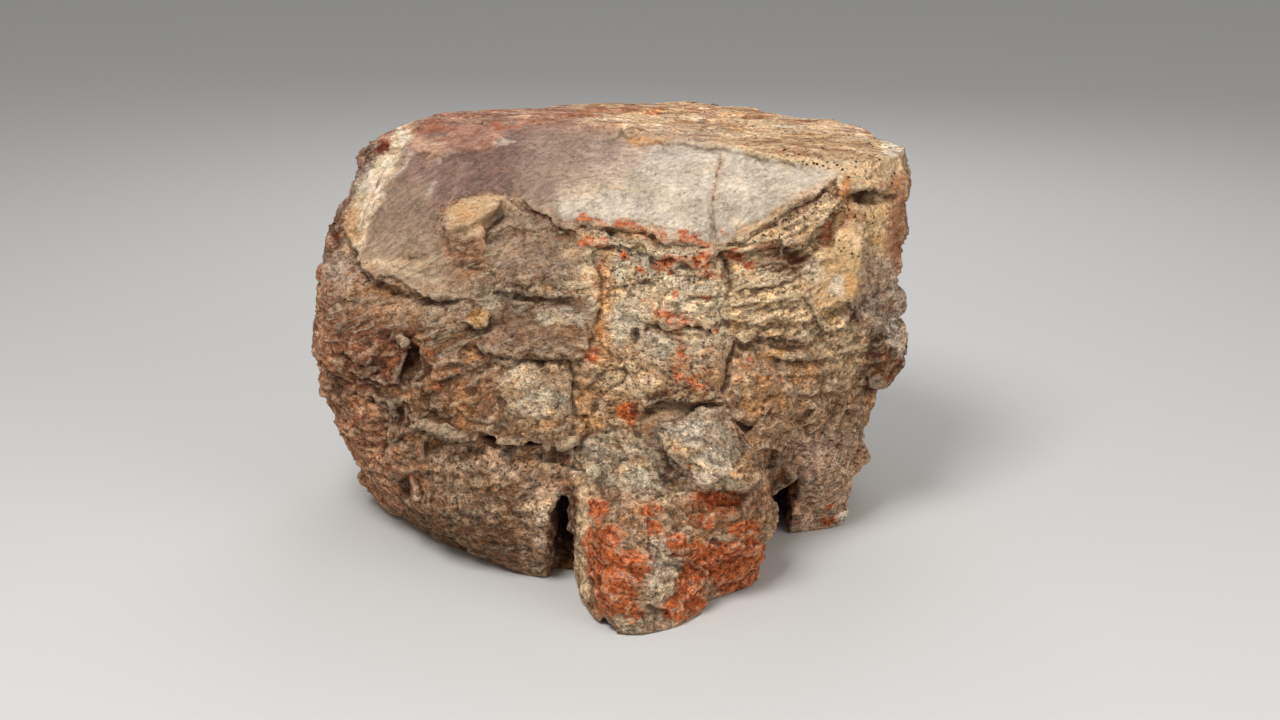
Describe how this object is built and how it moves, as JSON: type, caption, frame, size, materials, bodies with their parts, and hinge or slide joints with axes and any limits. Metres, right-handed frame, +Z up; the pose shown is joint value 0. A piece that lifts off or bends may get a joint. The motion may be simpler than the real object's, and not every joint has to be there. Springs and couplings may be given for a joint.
{
  "type": "layered sandstone rock",
  "caption": "Free-standing boulder of layered sandstone with a flat top, sloping slab, ledges, joints and a jutting foot, cut flat underneath.",
  "frame": {"origin": "centre of the bounding box in plan, at the flat underside that the rock stands on", "axes": "+Z up, +X to the right as seen from the front, -Y towards the front, where the sloping slab and the foot are"},
  "size_m": [1.2, 1.1538, 0.8102],
  "materials": {
    "sandstone": "rough, weathered, iron-stained"
  },
  "bodies": {
    "root": {"sandstone_rock": "sandstone"}
  },
  "joints": []
}
